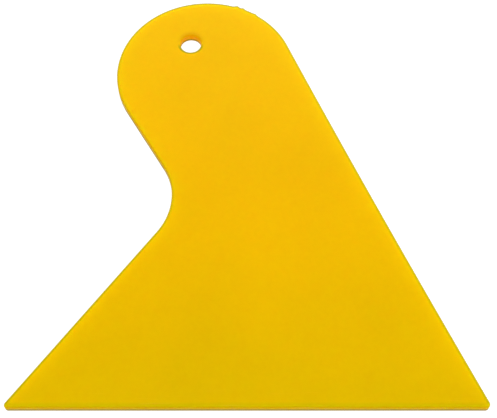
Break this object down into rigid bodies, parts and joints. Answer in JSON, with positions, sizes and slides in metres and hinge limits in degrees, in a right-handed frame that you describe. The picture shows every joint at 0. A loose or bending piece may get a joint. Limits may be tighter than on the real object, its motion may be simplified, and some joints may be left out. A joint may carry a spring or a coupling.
{
  "type": "squeegee applicator",
  "caption": "Flat moulded plastic hand squeegee with a straight working edge, a rounded handle end, a finger notch and a hanging hole.",
  "frame": {"origin": "centre of the plate's bounding box, on its flat back face", "axes": "+Z out of the front face, +X to the right along the working edge, +Y from the working edge towards the handle"},
  "size_m": [0.1228, 0.1308, 0.0028],
  "materials": {
    "yellow_plastic": "satin yellow moulded plastic, slightly see-through at its edges, with a fine moulded texture and light wear along the working edge"
  },
  "bodies": {
    "root": {"squeegee_plate": "yellow_plastic"}
  },
  "joints": []
}
